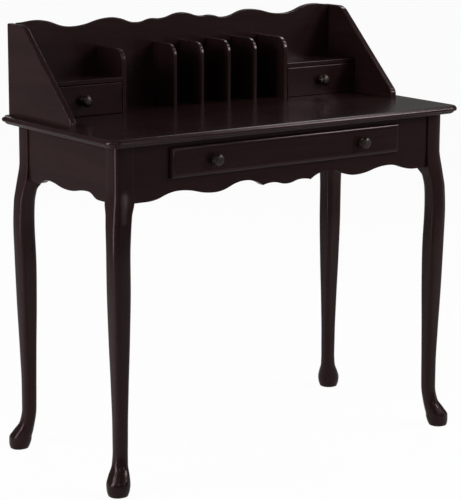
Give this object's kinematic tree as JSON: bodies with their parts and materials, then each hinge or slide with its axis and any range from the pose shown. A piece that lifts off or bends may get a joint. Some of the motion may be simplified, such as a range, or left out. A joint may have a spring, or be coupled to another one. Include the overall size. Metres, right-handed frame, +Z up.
{
  "type": "writing desk with letter hutch",
  "caption": "Dark lacquered writing desk on cabriole legs with scalloped aprons, a wide drawer, and a letter hutch with small drawers and upright dividers.",
  "frame": {"origin": "on the floor under the middle of the desk", "axes": "+X to the sitter's right, +Y from the drawer front to the hutch back, +Z up"},
  "size_m": [0.952, 0.463, 0.967],
  "materials": {
    "lacquered_wood": "semi-gloss lacquer",
    "plain_wood": "sanded and sealed",
    "knob_metal": "dark bronze lacquer",
    "zinc_steel": "zinc plated",
    "pad_felt": "pressed felt"
  },
  "bodies": {
    "desk": {"apron_back": "lacquered_wood", "apron_front": "lacquered_wood", "apron_left": "lacquered_wood", "apron_right": "lacquered_wood", "corner_block_back_left": "plain_wood", "corner_block_back_right": "plain_wood", "corner_block_front_left": "plain_wood", "corner_block_front_right": "plain_wood", "corner_bolts": "zinc_steel", "corner_nuts": "zinc_steel", "desk_top": "lacquered_wood", "foot_pads": "pad_felt", "hutch_back": "lacquered_wood", "hutch_dowels": "plain_wood", "hutch_side_left": "lacquered_wood", "hutch_side_right": "lacquered_wood", "leg_back_left": "lacquered_wood", "leg_back_right": "lacquered_wood", "leg_front_left": "lacquered_wood", "leg_front_right": "lacquered_wood", "letter_divider_1": "lacquered_wood", "letter_divider_2": "lacquered_wood", "letter_divider_3": "lacquered_wood", "letter_divider_4": "lacquered_wood", "partition_left": "lacquered_wood", "partition_right": "lacquered_wood", "runner_dowels": "plain_wood", "runner_left": "plain_wood", "runner_right": "plain_wood", "shelf_left": "lacquered_wood", "shelf_right": "lacquered_wood", "top_screws": "zinc_steel"},
    "main_drawer": {"main_drawer_back": "plain_wood", "main_drawer_bottom": "plain_wood", "main_drawer_front": "lacquered_wood", "main_drawer_inner_front": "plain_wood", "main_drawer_side_left": "plain_wood", "main_drawer_side_right": "plain_wood", "main_front_screws": "zinc_steel", "main_knob_left": "knob_metal", "main_knob_right": "knob_metal", "main_knob_screws": "zinc_steel"},
    "left_small_drawer": {"left_drawer_back": "plain_wood", "left_drawer_bottom": "plain_wood", "left_drawer_front": "lacquered_wood", "left_drawer_knob": "knob_metal", "left_drawer_knob_screw": "zinc_steel", "left_drawer_side_inner": "plain_wood", "left_drawer_side_outer": "plain_wood"},
    "right_small_drawer": {"right_drawer_back": "plain_wood", "right_drawer_bottom": "plain_wood", "right_drawer_front": "lacquered_wood", "right_drawer_knob": "knob_metal", "right_drawer_knob_screw": "zinc_steel", "right_drawer_side_inner": "plain_wood", "right_drawer_side_outer": "plain_wood"}
  },
  "joints": [
    {"name": "main_drawer_slide", "type": "slide", "parent": "desk", "child": "main_drawer", "axis": [0, -1, 0], "range_m": [0, 0.24]},
    {"name": "left_small_drawer_slide", "type": "slide", "parent": "desk", "child": "left_small_drawer", "axis": [0, -1, 0], "range_m": [0, 0.07]},
    {"name": "right_small_drawer_slide", "type": "slide", "parent": "desk", "child": "right_small_drawer", "axis": [0, -1, 0], "range_m": [0, 0.07]}
  ]
}
